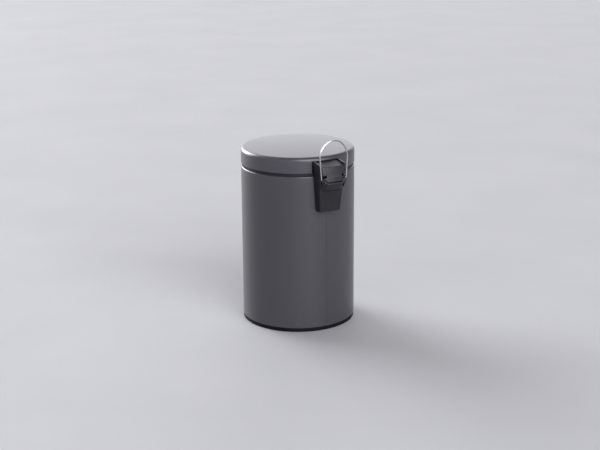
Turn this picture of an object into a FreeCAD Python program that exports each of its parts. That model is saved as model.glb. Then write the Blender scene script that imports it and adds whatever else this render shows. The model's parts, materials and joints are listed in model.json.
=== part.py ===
import FreeCAD, Part
import math
import os

from FreeCAD import Vector

# A round pedal bin: steel shell, hinged steel lid, carry bail and lift-out bucket.
# Millimetres, +Z up. The origin is on the shell's axis, on the floor. The lid hinges at
# the back (+Y) and the pedal stands out at the front (-Y). Everything is drawn shut.

# ---- driving dimensions ---------------------------------------------------------------
SHELL_R = 125.0            # outside radius of shell and lid
SHEET = 0.8                # steel sheet
SHELL_BOTTOM = 9.4
SHELL_TOP = 350.4
LID_BOTTOM = 357.5
LID_TOP = 394.6
LID_SHOULDER = 8.0         # radius between skirt and dome
LID_DOME = 3.3             # rise of the dome above the shoulder

HINGE_Y = 138.0            # lid hinge pin, parallel to X
HINGE_Z = 364.0
HINGE_PIN_R = 2.5
LID_OPEN = 65.0            # degrees
RUNNING_FIT = 0.05         # radial clearance of a pin in its bore

BAIL_Y = 158.2             # carry bail pivot, parallel to X
BAIL_Z = 349.1
BAIL_WIRE_R = 1.5
BAIL_LEAN = 0.8            # degrees towards the lid, where the bail is parked

HOUSING_BOTTOM = 275.0
HOUSING_HALF = 24.5        # half width at the bottom of the housing
HOUSING_TAPER = 0.063      # growth of the half width per millimetre of height
BLOCK_HALF = 26.7          # half width of the lid's hinge block
CAVITY_HALF = 27.3         # half the room between the housing's side walls

HOOK_ARM = 27.3            # from hinge pin to the lift rod's upper hook
ROD_R = 1.75
ROD_X = 7.0                # the rod stands beside the ear that its hooks go through
PEDAL_PIVOT_Y = -35.0
PEDAL_PIVOT_Z = 32.0
PAN_Z = 56.0               # underside of the floor pan

BUCKET_TOP = 351.0
BUCKET_WALL = 1.6
BUCKET_HINGE_Z = 346.0
HANDLE_R = 90.0
HANDLE_WIRE_R = 1.75

# ---- worked out from them -------------------------------------------------------------
INNER_R = SHELL_R - SHEET
HALF_OPEN = math.radians(LID_OPEN / 2)
HOOK_Y = HINGE_Y - HOOK_ARM * math.cos(HALF_OPEN)
HOOK_Z = HINGE_Z - HOOK_ARM * math.sin(HALF_OPEN)
HOOK_SWAY = HOOK_ARM * (1 - math.cos(HALF_OPEN))   # how far the ear leaves the straight lift
ROD_Y = HOOK_Y - HOOK_SWAY / 2
ROD_TRAVEL = 2 * HOOK_ARM * math.sin(HALF_OPEN)
EYE_Z = PEDAL_PIVOT_Z - ROD_TRAVEL / 2
DOME_EDGE_R = SHELL_R - LID_SHOULDER
DOME_EDGE_Z = LID_TOP - LID_DOME
SKIRT_TOP = DOME_EDGE_Z - LID_SHOULDER


# ---- shape helpers --------------------------------------------------------------------
def box(x0, x1, y0, y1, z0, z1):
    return Part.makeBox(x1 - x0, y1 - y0, z1 - z0, Vector(x0, y0, z0))


def mirrored(shape):
    """The shape and its mirror image across the YZ plane, as one fused solid."""
    return shape.fuse(shape.mirror(Vector(0, 0, 0), Vector(1, 0, 0)))


def post(radius, x, y, z0, z1):
    return Part.makeCylinder(radius, z1 - z0, Vector(x, y, z0))


def axle(radius, x0, x1, y, z):
    return Part.makeCylinder(radius, x1 - x0, Vector(x0, y, z), Vector(1, 0, 0))


def ring(r_in, r_out, z0, z1):
    return post(r_out, 0, 0, z0, z1).cut(post(r_in, 0, 0, z0, z1))


def turned(points):
    """Solid of revolution about Z from (radius, height) corners."""
    corners = [Vector(r, 0, z) for r, z in points]
    face = Part.Face(Part.makePolygon(corners + corners[:1]))
    return face.revolve(Vector(0, 0, 0), Vector(0, 0, 1), 360)


def side_profile(points, x0, x1):
    """Prism along X from (y, z) corners."""
    corners = [Vector(x0, y, z) for y, z in points]
    face = Part.Face(Part.makePolygon(corners + corners[:1]))
    return face.extrude(Vector(x1 - x0, 0, 0))


def front_profile(points, y0, y1):
    """Prism along Y from (x, z) corners."""
    corners = [Vector(x, y0, z) for x, z in points]
    face = Part.Face(Part.makePolygon(corners + corners[:1]))
    return face.extrude(Vector(0, y1 - y0, 0))


def plan_profile(points, z0, z1):
    """Prism along Z from (x, y) corners."""
    corners = [Vector(x, y, z0) for x, y in points]
    face = Part.Face(Part.makePolygon(corners + corners[:1]))
    return face.extrude(Vector(0, 0, z1 - z0))


def softened(shape, radius, wanted):
    """Fillet the edges that the test picks by their midpoint and direction."""
    edges = []
    for edge in shape.Edges:
        if edge.Curve.TypeId != "Part::GeomLine":
            continue
        middle = edge.CenterOfMass
        along = (edge.Vertexes[-1].Point - edge.Vertexes[0].Point).normalize()
        if wanted(middle, along):
            edges.append(edge)
    return shape.makeFillet(radius, edges)


def bent_wire(points, wire_r, bend_r):
    """Round bar along straight runs that are joined by tangent arcs."""
    edges = []
    start = points[0]
    for before, corner, after in zip(points, points[1:], points[2:]):
        back = (before - corner).normalize()
        ahead = (after - corner).normalize()
        half_angle = back.getAngle(ahead) / 2
        reach = bend_r / math.tan(half_angle)
        centre = corner + (back + ahead).normalize() * (bend_r / math.sin(half_angle))
        entry = corner + back * reach
        leave = corner + ahead * reach
        middle = centre + (corner - centre).normalize() * bend_r
        edges.append(Part.LineSegment(start, entry).toShape())
        edges.append(Part.Arc(entry, middle, leave).toShape())
        start = leave
    edges.append(Part.LineSegment(start, points[-1]).toShape())
    return swept(edges, wire_r)


def swept(edges, wire_r):
    path = Part.Wire(edges)
    first = edges[0]
    start = first.valueAt(first.FirstParameter)
    heading = first.tangentAt(first.FirstParameter)
    section = Part.Wire([Part.Circle(start, heading, wire_r).toShape()])
    return path.makePipeShell([section], True, False)


# ---- shell, base and rim --------------------------------------------------------------
SHELL_ROLL = 3.0           # the top edge turns inwards by this radius
SLOT_HALF = 17.0           # pedal slot
SLOT_BOTTOM = 14.0
SLOT_TOP = 46.0
SCREW_X = 15.0
SCREW_HEIGHTS = (290.0, 315.0)
SCREW_R = 2.0
SEAM_HALF = 0.5
SEAM_DEPTH = 0.35


def screw_places():
    return [(x, z) for z in SCREW_HEIGHTS for x in (-SCREW_X, SCREW_X)]


def rearward(radius, x, z, y0, y1):
    """A cylinder that points to the back, as the housing screws do."""
    return Part.makeCylinder(radius, y1 - y0, Vector(x, y0, z), Vector(0, 1, 0))


def outer_shell():
    roll_z = SHELL_TOP - SHELL_ROLL
    roll_r = SHELL_R - SHELL_ROLL
    lean = math.sqrt(0.5)
    inner_roll = SHELL_ROLL - SHEET
    outer_arc = Part.Arc(
        Vector(SHELL_R, 0, roll_z),
        Vector(roll_r + SHELL_ROLL * lean, 0, roll_z + SHELL_ROLL * lean),
        Vector(roll_r, 0, SHELL_TOP),
    )
    inner_arc = Part.Arc(
        Vector(roll_r, 0, SHELL_TOP - SHEET),
        Vector(roll_r + inner_roll * lean, 0, roll_z + inner_roll * lean),
        Vector(INNER_R, 0, roll_z),
    )
    outline = Part.Wire([
        Part.makeLine(Vector(INNER_R, 0, SHELL_BOTTOM), Vector(SHELL_R, 0, SHELL_BOTTOM)),
        Part.makeLine(Vector(SHELL_R, 0, SHELL_BOTTOM), Vector(SHELL_R, 0, roll_z)),
        outer_arc.toShape(),
        Part.makeLine(Vector(roll_r, 0, SHELL_TOP), Vector(roll_r, 0, SHELL_TOP - SHEET)),
        inner_arc.toShape(),
        Part.makeLine(Vector(INNER_R, 0, roll_z), Vector(INNER_R, 0, SHELL_BOTTOM)),
    ])
    shell = Part.Face(outline).revolve(Vector(0, 0, 0), Vector(0, 0, 1), 360)
    slot = softened(
        box(-SLOT_HALF, SLOT_HALF, -SHELL_R - 5, -SHELL_R + 15, SLOT_BOTTOM, SLOT_TOP),
        5.0,
        lambda middle, along: abs(along.y) > 0.9,
    )
    shell = shell.cut(slot)
    for x, z in screw_places():
        shell = shell.cut(rearward(SCREW_R + 0.2, x, z, 110, 130))
    groove = box(-SEAM_HALF, SEAM_HALF, SHELL_R - SEAM_DEPTH, SHELL_R + 1, SHELL_BOTTOM, roll_z)
    return shell.cut(groove)


BASE_R = 124.4             # visible foot of the base ring
BASE_WALL = 5.6
BASE_TOP = 40.0
RUBBER_IN = 113.0
RUBBER_OUT = 119.0
RUBBER_TOP = 2.6


def base_ring():
    inner = BASE_R - BASE_WALL
    body = turned([
        (BASE_R - 0.8, 0.5), (BASE_R, 1.3), (BASE_R, SHELL_BOTTOM), (INNER_R, SHELL_BOTTOM),
        (INNER_R, BASE_TOP), (INNER_R - 2.2, BASE_TOP), (INNER_R - 2.2, 13.0), (inner, 9.0),
        (inner, 5.2), (104.0, 5.2), (104.0, 9.0), (101.6, 9.0), (101.6, 1.8), (103.0, 0.5),
    ])
    groove = ring(RUBBER_IN, RUBBER_OUT, 0, RUBBER_TOP)
    slot = box(-SLOT_HALF - 1, SLOT_HALF + 1, -SHELL_R, -100, SLOT_BOTTOM - 1, BASE_TOP + 1)
    return body.cut(groove).cut(slot)


def nonslip_ring():
    return ring(RUBBER_IN, RUBBER_OUT, 0, RUBBER_TOP)


PAN_THICK = 1.0
PAN_SKIRT = 7.0


def floor_pan():
    pan = turned([
        (0, PAN_Z), (INNER_R - PAN_THICK, PAN_Z), (INNER_R - PAN_THICK, PAN_Z - PAN_SKIRT),
        (INNER_R, PAN_Z - PAN_SKIRT), (INNER_R, PAN_Z + PAN_THICK), (0, PAN_Z + PAN_THICK),
    ])
    rod_hole = post(ROD_R + 3.0, ROD_X, ROD_Y, PAN_Z - 5, PAN_Z + 5)
    pan = pan.cut(rod_hole)
    for x, y in rivet_places():
        pan = pan.cut(post(RIVET_R, x, y, PAN_Z - 5, PAN_Z + 5))
    return pan


COLLAR_R = 123.0
COLLAR_IN = 109.0
COLLAR_TOP = 357.0
COLLAR_NOTCH_HALF = 12.0   # room for the lift rod and the ear it lifts


def rim_collar():
    body = turned([
        (COLLAR_R, SHELL_TOP), (COLLAR_R, COLLAR_TOP - 0.8), (COLLAR_R - 0.8, COLLAR_TOP),
        (COLLAR_IN + 1.2, COLLAR_TOP), (COLLAR_IN, COLLAR_TOP - 1.2), (COLLAR_IN, 338.0),
        (COLLAR_IN + 1.8, 338.0), (COLLAR_IN + 1.8, 354.6), (119.8, 354.6), (119.8, 342.0),
        (SHELL_R - SHELL_ROLL, 342.0), (SHELL_R - SHELL_ROLL, SHELL_TOP),
    ])
    notch = box(-COLLAR_NOTCH_HALF, COLLAR_NOTCH_HALF, 95, SHELL_R - SHELL_ROLL, 330, 360)
    return body.cut(notch)


# ---- hinge housing and what fastens it ------------------------------------------------
FACE_Y = 142.9             # the front face leans outwards from here
FACE_LEAN = 0.11
FACE_TOP_Z = 380.0
WALL_TOP = ((127.0, 383.8), (120.5, 381.6), (117.8, 377.0))
WALL_REAR_Z = 358.0
HOUSING_WALL = 2.6
CAVITY_FLOOR = 340.0
CHIN_TIP = (165.0, 340.5)
CHIN_ROOT = (151.0, 324.0)
CHIN_TIP_HALF = 17.2
CHIN_ROOT_HALF = 20.2
TONGUE_SWEEP = 34.0        # the block's tongue turns inside this radius
SHOULDER_SWEEP = 26.6      # and inside this one where it is widest
SHOULDER_TOP = (161.0, 352.8)
BLOCK_SWEEP = 23.3         # the full width of the block turns inside this one
EAR_IN = 24.6
EAR_OUT = 26.6
BOSS_R = 4.6
PIN_HALF = 28.8            # the pin's ends are blind in the side walls
EDGE_ROUND = 1.2


def face_y(z):
    """Front face of the housing at a height."""
    return FACE_Y + FACE_LEAN * (z - HOUSING_BOTTOM)


def housing_half(z):
    return HOUSING_HALF + HOUSING_TAPER * (z - HOUSING_BOTTOM)


def taper(margin, y0, y1, z0, z1):
    """The housing's tapered outline seen from behind, drawn in by a margin."""
    low = housing_half(z0) - margin
    high = housing_half(z1) - margin
    return front_profile([(-low, z0), (low, z0), (high, z1), (-high, z1)], y0, y1)


def chin():
    """The lip below the block: a sloping face between two gussets that carry the bail."""
    lip = side_profile(
        [(138, 319.0), (face_y(319.0), 319.0), CHIN_ROOT, CHIN_TIP, (164.2, 342.4), (138, 342.4)],
        -EAR_OUT, EAR_OUT,
    )
    tip = Vector(CHIN_TIP_HALF, *CHIN_TIP)
    root = Vector(CHIN_ROOT_HALF, *CHIN_ROOT)
    gusset = Vector(EAR_OUT, 157.0, 338.5)
    along = (root - tip).normalize()
    normal = along.cross(gusset - tip).normalize()
    if normal.x < 0:
        normal = normal * -1
    across = normal.cross(along).normalize()
    if across.x < 0:
        across = across * -1
    corners = [
        tip - along * 30,
        root + along * 30,
        root + along * 30 + across * 40,
        tip - along * 30 + across * 40,
    ]
    facet = Part.Face(Part.makePolygon(corners + corners[:1])).extrude(normal * 40)
    return lip.cut(mirrored(facet))


def bail_ears():
    plate = side_profile(
        [(146.0, 328.0), (155.5, 329.5), (164.4, 346.6), (158.0, 353.6), (148.0, 344.0)],
        EAR_IN, EAR_OUT,
    )
    plate = plate.fuse(axle(5.2, EAR_IN, EAR_OUT, BAIL_Y, BAIL_Z))
    return mirrored(plate)


def shoulders():
    """Fillers beside the block's toe; the tongue's sloping sides sweep out their inner faces."""
    return mirrored(side_profile(
        [(146.0, 342.0), (164.0, 342.0), SHOULDER_TOP, (146.0, SHOULDER_TOP[1])], CHIN_TIP_HALF, EAR_IN,
    ))


def tongue_room():
    """What the block's tongue sweeps through: a drum that narrows towards the ears."""
    narrowing = Part.makeCone(
        TONGUE_SWEEP, SHOULDER_SWEEP, EAR_IN - CHIN_TIP_HALF, Vector(CHIN_TIP_HALF, HINGE_Y, HINGE_Z),
        Vector(1, 0, 0),
    )
    drum = axle(TONGUE_SWEEP, -CHIN_TIP_HALF, CHIN_TIP_HALF, HINGE_Y, HINGE_Z)
    return drum.multiFuse([narrowing, narrowing.mirror(Vector(0, 0, 0), Vector(1, 0, 0))])


def hinge_housing():
    outline = [
        (100, HOUSING_BOTTOM), (FACE_Y, HOUSING_BOTTOM), (face_y(FACE_TOP_Z), FACE_TOP_Z),
        *WALL_TOP, (117.8, WALL_REAR_Z), (100, WALL_REAR_Z),
    ]
    body = side_profile(outline, -40, 40).common(taper(0, 90, 170, HOUSING_BOTTOM, 386))
    body = softened(
        body, EDGE_ROUND,
        lambda middle, along: middle.y > 140 and (middle.z < HOUSING_BOTTOM + 1 or abs(along.z) > 0.9),
    )
    body = body.cut(post(SHELL_R, 0, 0, 200, WALL_REAR_Z))
    upper_room = box(-CAVITY_HALF, CAVITY_HALF, 90, 170, CAVITY_FLOOR, 390)
    lower_room = side_profile(
        [(100, HOUSING_BOTTOM + HOUSING_WALL), (FACE_Y - HOUSING_WALL, HOUSING_BOTTOM + HOUSING_WALL),
         (face_y(CAVITY_FLOOR) - HOUSING_WALL, CAVITY_FLOOR + 1), (100, CAVITY_FLOOR + 1)],
        -40, 40,
    ).common(taper(HOUSING_WALL, 90, 170, HOUSING_BOTTOM, CAVITY_FLOOR + 2))
    body = body.cut(upper_room).cut(lower_room)
    bosses = [rearward(BOSS_R, x, z, 118, 144) for x, z in screw_places()]
    bosses = bosses[0].multiFuse(bosses[1:]).cut(post(SHELL_R, 0, 0, 200, WALL_REAR_Z))
    body = body.multiFuse([chin(), shoulders(), bail_ears(), bosses])
    body = body.cut(tongue_room())
    body = body.cut(axle(BLOCK_SWEEP, -CAVITY_HALF, CAVITY_HALF, HINGE_Y, HINGE_Z))
    body = body.cut(hinge_pin())
    body = body.cut(axle(BAIL_WIRE_R + RUNNING_FIT, -40, 40, BAIL_Y, BAIL_Z))
    for x, z in screw_places():
        body = body.cut(rearward(SCREW_R, x, z, 118, 137))
    return body.removeSplitter()


def hinge_pin():
    return axle(HINGE_PIN_R, -PIN_HALF, PIN_HALF, HINGE_Y, HINGE_Z)


PLATE_HALF = 22.0
PLATE_THICK = 1.2


def backing_plate():
    plate = ring(INNER_R - PLATE_THICK, INNER_R, 281, 326)
    plate = plate.common(box(-PLATE_HALF, PLATE_HALF, 90, 130, 281, 326))
    for x, z in screw_places():
        plate = plate.cut(rearward(SCREW_R + 0.2, x, z, 110, 130))
    return plate


def housing_screws():
    seat = math.sqrt((INNER_R - PLATE_THICK) ** 2 - SCREW_X ** 2) - 0.6
    screws = []
    for x, z in screw_places():
        shank = rearward(SCREW_R, x, z, seat - 0.5, 136)
        head = rearward(3.8, x, z, seat - 2.6, seat)
        recess = box(x - 0.5, x + 0.5, seat - 3, seat - 1.6, z - 2.2, z + 2.2)
        recess = recess.fuse(box(x - 2.2, x + 2.2, seat - 3, seat - 1.6, z - 0.5, z + 0.5))
        screws.append(shank.fuse(head).cut(recess))
    return Part.makeCompound(screws)


# ---- lid ------------------------------------------------------------------------------
NOTCH_HALF = 31.8
LINER_NOTCH_HALF = 34.0
PAD_BOTTOM = 389.0         # flat underside of the reinforcing pad
PAD_HALF = 22.0
PAD_BACK = 106.0
PAD_FRONT = 64.0


def lid_outline(inset):
    """Half section of the lid's outside, drawn in by an inset, as a solid of revolution."""
    r = SHELL_R - inset
    fillet = LID_SHOULDER - inset
    lean = math.sqrt(0.5)
    edge_z = DOME_EDGE_Z - inset
    top_z = LID_TOP - inset
    dome_r = (DOME_EDGE_R ** 2 + LID_DOME ** 2) / (2 * LID_DOME)
    middle_r = DOME_EDGE_R / 2
    middle_z = top_z - dome_r + math.sqrt(dome_r ** 2 - middle_r ** 2)
    shoulder = Part.Arc(
        Vector(r, 0, SKIRT_TOP),
        Vector(DOME_EDGE_R + fillet * lean, 0, SKIRT_TOP + fillet * lean),
        Vector(DOME_EDGE_R, 0, edge_z),
    )
    dome = Part.Arc(
        Vector(DOME_EDGE_R, 0, edge_z), Vector(middle_r, 0, middle_z), Vector(0, 0, top_z)
    )
    wire = Part.Wire([
        Part.makeLine(Vector(0, 0, LID_BOTTOM), Vector(r, 0, LID_BOTTOM)),
        Part.makeLine(Vector(r, 0, LID_BOTTOM), Vector(r, 0, SKIRT_TOP)),
        shoulder.toShape(),
        dome.toShape(),
        Part.makeLine(Vector(0, 0, top_z), Vector(0, 0, LID_BOTTOM)),
    ])
    return Part.Face(wire).revolve(Vector(0, 0, 0), Vector(0, 0, 1), 360)


def lid_shell():
    notch = box(-NOTCH_HALF, NOTCH_HALF, 90, 130, LID_BOTTOM - 1, SKIRT_TOP)
    return lid_outline(0).cut(lid_outline(SHEET)).cut(notch)


LINER_BOTTOM = 358.2


def lid_liner():
    liner = turned([
        (112.0, LINER_BOTTOM), (INNER_R, LINER_BOTTOM), (INNER_R, 378.0), (INNER_R - 1.8, 378.0),
        (INNER_R - 1.8, LINER_BOTTOM + 2), (114.0, LINER_BOTTOM + 2), (114.0, 364.0), (112.0, 364.0),
    ])
    return liner.cut(box(-LINER_NOTCH_HALF, LINER_NOTCH_HALF, 60, 130, 350, 385))


def lid_buffers():
    pads = []
    for angle in (-90, 30, 150):
        x = 117.5 * math.cos(math.radians(angle))
        y = 117.5 * math.sin(math.radians(angle))
        pads.append(post(3.5, x, y, COLLAR_TOP + 0.3, LINER_BOTTOM))
    return Part.makeCompound(pads)


def lid_screw_places():
    return [(x, y) for y in (PAD_FRONT + 9, PAD_BACK - 9) for x in (-13.0, 13.0)]


def reinforcing_pad():
    pad = box(-PAD_HALF, PAD_HALF, PAD_FRONT, PAD_BACK, PAD_BOTTOM, LID_TOP)
    pad = pad.common(lid_outline(SHEET))
    for x, y in lid_screw_places():
        pad = pad.cut(post(SCREW_R, x, y, PAD_BOTTOM - 1, PAD_BOTTOM + 1.6))
    return pad


def lid_screws():
    screws = []
    for x, y in lid_screw_places():
        shank = post(SCREW_R, x, y, PAD_BOTTOM - 5, PAD_BOTTOM + 1.6)
        head = post(3.8, x, y, PAD_BOTTOM - 6.4, PAD_BOTTOM - 4.0)
        recess = box(x - 2.2, x + 2.2, y - 0.5, y + 0.5, PAD_BOTTOM - 7, PAD_BOTTOM - 5.4)
        recess = recess.fuse(box(x - 0.5, x + 0.5, y - 2.2, y + 2.2, PAD_BOTTOM - 7, PAD_BOTTOM - 5.4))
        screws.append(shank.fuse(head).cut(recess))
    return Part.makeCompound(screws)


BLOCK_TOP_IN = (121.5, 382.3)
BLOCK_TOP_OUT = (155.0, 375.5)
BLOCK_TOE = (164.2, 343.6)
BLOCK_WALL = 3.4
WIDE_BOTTOM = 359.0        # the block keeps its full width down to here
NOTCH_BOTTOM = 353.5
NOTCH_IN = 18.5
TONGUE_HALF = 24.2
TOE_HALF = 16.8
ARM_HALF = 19.0
EAR_HALF = 3.0
EAR_R = 6.4
EAR_HOLE_R = 4.5


def hinge_block():
    """The lid's hinge: visible block and tongue, pin barrel, arm under the lid, rod ear."""
    slope = (BLOCK_TOE[0] - BLOCK_TOP_OUT[0]) / (BLOCK_TOP_OUT[1] - BLOCK_TOE[1])
    wide_y = BLOCK_TOP_OUT[0] + slope * (BLOCK_TOP_OUT[1] - WIDE_BOTTOM)
    skin = side_profile(
        [BLOCK_TOP_IN, BLOCK_TOP_OUT, BLOCK_TOE, (BLOCK_TOE[0] - BLOCK_WALL, BLOCK_TOE[1]),
         (BLOCK_TOP_OUT[0] - BLOCK_WALL, BLOCK_TOP_OUT[1] - BLOCK_WALL),
         (BLOCK_TOP_IN[0], BLOCK_TOP_IN[1] - BLOCK_WALL)],
        -BLOCK_HALF, BLOCK_HALF,
    )
    front_outline = [
        (0, BLOCK_TOE[1]), (TOE_HALF, BLOCK_TOE[1]), (TONGUE_HALF, NOTCH_BOTTOM - 0.4),
        (TONGUE_HALF, NOTCH_BOTTOM), (NOTCH_IN, NOTCH_BOTTOM), (NOTCH_IN, WIDE_BOTTOM),
        (BLOCK_HALF, WIDE_BOTTOM), (BLOCK_HALF, 390), (0, 390),
    ]
    skin = skin.common(mirrored(front_profile(front_outline, 100, 170)))
    cheek = side_profile(
        [BLOCK_TOP_IN, BLOCK_TOP_OUT, (wide_y, WIDE_BOTTOM), (HINGE_Y + 5, WIDE_BOTTOM),
         (HINGE_Y - 5, 356.5), (HINGE_Y - 10, 362), (BLOCK_TOP_IN[0] + 3, 372)],
        BLOCK_HALF - 3, BLOCK_HALF,
    )
    rib = side_profile(
        [BLOCK_TOP_IN, BLOCK_TOP_OUT, BLOCK_TOE, (158, 343.6), (HINGE_Y + 2, 356.2),
         (HINGE_Y - 8, 360), (BLOCK_TOP_IN[0] + 3, 368)],
        10.5, 13.5,
    )
    barrel = axle(7.5, -BLOCK_HALF, BLOCK_HALF, HINGE_Y, HINGE_Z)
    arm = side_profile(
        [(126.0, 376.5), (126.0, 381.4), BLOCK_TOP_IN, (119.0, PAD_BOTTOM), (PAD_FRONT, PAD_BOTTOM),
         (PAD_FRONT, PAD_BOTTOM - 4), (112.0, PAD_BOTTOM - 4), (116.0, 376.5)],
        -ARM_HALF, ARM_HALF,
    )
    web = side_profile(
        [(HOOK_Y - EAR_R, HOOK_Z), (HOOK_Y + EAR_R, HOOK_Z), (HOOK_Y + EAR_R, 362), (130, 366),
         (130, 380), (118, 386), (104, 386)],
        -EAR_HALF, EAR_HALF,
    )
    body = skin.multiFuse([
        mirrored(cheek), mirrored(rib), barrel, arm, web,
        axle(EAR_R, -EAR_HALF, EAR_HALF, HOOK_Y, HOOK_Z),
    ])
    body = body.cut(axle(HINGE_PIN_R + RUNNING_FIT, -40, 40, HINGE_Y, HINGE_Z))
    body = body.cut(axle(EAR_HOLE_R, -10, 10, HOOK_Y, HOOK_Z))
    for x, y in lid_screw_places():
        body = body.cut(post(SCREW_R, x, y, PAD_BOTTOM - 6, PAD_BOTTOM + 1))
    return softened(
        body.removeSplitter(), 1.2,
        lambda middle, along: abs(along.x) > 0.9
        and (abs(middle.z - BLOCK_TOP_OUT[1]) < 0.2 or abs(middle.z - BLOCK_TOE[1]) < 0.2)
        and middle.y > 154 and abs(middle.x) < 1,
    )


# ---- carry bail -----------------------------------------------------------------------
BAIL_WIDE_HALF = 33.0
BAIL_TOP_H = 82.6          # top of the bail's centre line above its pivot
CROWN_RISE = 37.0          # the crown is half an ellipse of this height
CROWN_START = math.radians(-5.0)   # the straight legs run into the ellipse here
BAIL_BEND = 2.3


def carry_bail():
    """Bright wire bail: short feet through the ears, spreading legs and an oval top."""
    centre_h = BAIL_TOP_H - CROWN_RISE
    run = Vector(-BAIL_WIDE_HALF * math.sin(CROWN_START), 0, CROWN_RISE * math.cos(CROWN_START)).normalize()
    leg_top = Vector(
        BAIL_WIDE_HALF * math.cos(CROWN_START), 0, centre_h + CROWN_RISE * math.sin(CROWN_START),
    )
    foot_half = leg_top.x - leg_top.z * run.x / run.z
    half_angle = (math.pi - math.acos(run.x)) / 2
    reach = BAIL_BEND / math.tan(half_angle)

    def foot(side):
        corner = Vector(side * foot_half, 0, 0)
        inward = Vector(-side, 0, 0)
        upward = Vector(side * run.x, 0, run.z)
        centre = corner + (inward + upward).normalize() * (BAIL_BEND / math.sin(half_angle))
        middle = centre + (corner - centre).normalize() * BAIL_BEND
        return (
            Vector(side * EAR_IN, 0, 0), corner + inward * reach, middle, corner + upward * reach,
            Vector(side * leg_top.x, 0, leg_top.z),
        )

    right = foot(1)
    left = foot(-1)
    oval = Part.Ellipse(
        Vector(0, 0, centre_h + CROWN_RISE), Vector(BAIL_WIDE_HALF, 0, centre_h), Vector(0, 0, centre_h),
    )
    crown = Part.ArcOfEllipse(oval, oval.parameter(left[4]), oval.parameter(right[4])).toShape()
    edges = [
        Part.LineSegment(right[0], right[1]).toShape(),
        Part.Arc(right[1], right[2], right[3]).toShape(),
        Part.LineSegment(right[3], right[4]).toShape(),
        crown,
        Part.LineSegment(left[4], left[3]).toShape(),
        Part.Arc(left[3], left[2], left[1]).toShape(),
        Part.LineSegment(left[1], left[0]).toShape(),
    ]
    bail = swept(edges, BAIL_WIRE_R)
    bail.rotate(Vector(0, 0, 0), Vector(1, 0, 0), BAIL_LEAN)
    bail.translate(Vector(0, BAIL_Y, BAIL_Z))
    return bail


# ---- lift rod -------------------------------------------------------------------------
HOOK_END = -6.0
CLIP_THICK = 0.8
GUIDE_HEIGHTS = (120.0, 240.0)
GUIDE_TALL = 12.0
GUIDE_HALF = 5.0


def lift_rod():
    points = [
        Vector(HOOK_END, ROD_Y, EYE_Z), Vector(ROD_X, ROD_Y, EYE_Z),
        Vector(ROD_X, ROD_Y, HOOK_Z), Vector(HOOK_END, ROD_Y, HOOK_Z),
    ]
    return bent_wire(points, ROD_R, 3.5)


def rod_clips():
    clips = []
    for z in (EYE_Z, HOOK_Z):
        clip = axle(3.6, -4.6, -4.6 + CLIP_THICK, ROD_Y, z)
        clips.append(clip.cut(axle(ROD_R, -10, 10, ROD_Y, z)))
    return Part.makeCompound(clips)


def rod_guides():
    """Two loops on the inside of the shell that keep the rod upright."""
    guides = []
    for z in GUIDE_HEIGHTS:
        loop = box(ROD_X - GUIDE_HALF, ROD_X + GUIDE_HALF, ROD_Y - GUIDE_HALF, 130, z, z + GUIDE_TALL)
        loop = loop.common(post(INNER_R, 0, 0, z, z + GUIDE_TALL))
        loop = loop.cut(post(ROD_R + 0.4, ROD_X, ROD_Y, z - 1, z + GUIDE_TALL + 1))
        window = box(ROD_X - 2.5, ROD_X + 2.5, ROD_Y + GUIDE_HALF, INNER_R - 2.5, z - 1, z + GUIDE_TALL + 1)
        guides.append(loop.cut(window))
    return Part.makeCompound(guides)


# ---- pedal ----------------------------------------------------------------------------
RIVET_R = 2.0
BRACKET_X = 9.0
BRACKET_THICK = 1.5
PEDAL_PIN_R = 3.0
LEVER_HALF = 8.0
LEVER_THICK = 5.0
PEDAL_PLATE_HALF = 22.0
PEDAL_PLATE_Z = 37.0
PEDAL_PLATE_THICK = 3.0
PEDAL_FRONT = -184.0
PEDAL_REAR = -150.0
TREAD_HALF = 32.0


def rivet_places():
    return [(x, PEDAL_PIVOT_Y + y) for y in (-6.0, 6.0) for x in (-16.5, 16.5)]


def pivot_bracket():
    outer = BRACKET_X + BRACKET_THICK
    cheek = side_profile(
        [(PEDAL_PIVOT_Y - 11, PAN_Z), (PEDAL_PIVOT_Y - 7, 25), (PEDAL_PIVOT_Y + 7, 25),
         (PEDAL_PIVOT_Y + 11, PAN_Z)],
        BRACKET_X, outer,
    )
    flange = box(outer, 23, PEDAL_PIVOT_Y - 11, PEDAL_PIVOT_Y + 11, PAN_Z - BRACKET_THICK, PAN_Z)
    bridge = box(-outer, outer, PEDAL_PIVOT_Y - 11, PEDAL_PIVOT_Y + 11, PAN_Z - BRACKET_THICK, PAN_Z)
    body = bridge.multiFuse([mirrored(cheek), mirrored(flange)])
    body = body.cut(axle(PEDAL_PIN_R, -40, 40, PEDAL_PIVOT_Y, PEDAL_PIVOT_Z))
    for x, y in rivet_places():
        body = body.cut(post(RIVET_R, x, y, PAN_Z - 5, PAN_Z + 5))
    return body.removeSplitter()


def bracket_rivets():
    rivets = []
    for x, y in rivet_places():
        shank = post(RIVET_R, x, y, PAN_Z - BRACKET_THICK - 0.5, PAN_Z + PAN_THICK + 0.5)
        lower = post(3.6, x, y, PAN_Z - BRACKET_THICK - 1.4, PAN_Z - BRACKET_THICK)
        upper = post(3.6, x, y, PAN_Z + PAN_THICK, PAN_Z + PAN_THICK + 1.0)
        rivets.append(shank.multiFuse([lower, upper]))
    return Part.makeCompound(rivets)


def pedal_pin():
    outer = BRACKET_X + BRACKET_THICK
    pin = axle(PEDAL_PIN_R, -outer - 2.5, outer, PEDAL_PIVOT_Y, PEDAL_PIVOT_Z)
    head = axle(PEDAL_PIN_R + 2, outer, outer + 2, PEDAL_PIVOT_Y, PEDAL_PIVOT_Z)
    return pin.fuse(head)


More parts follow.
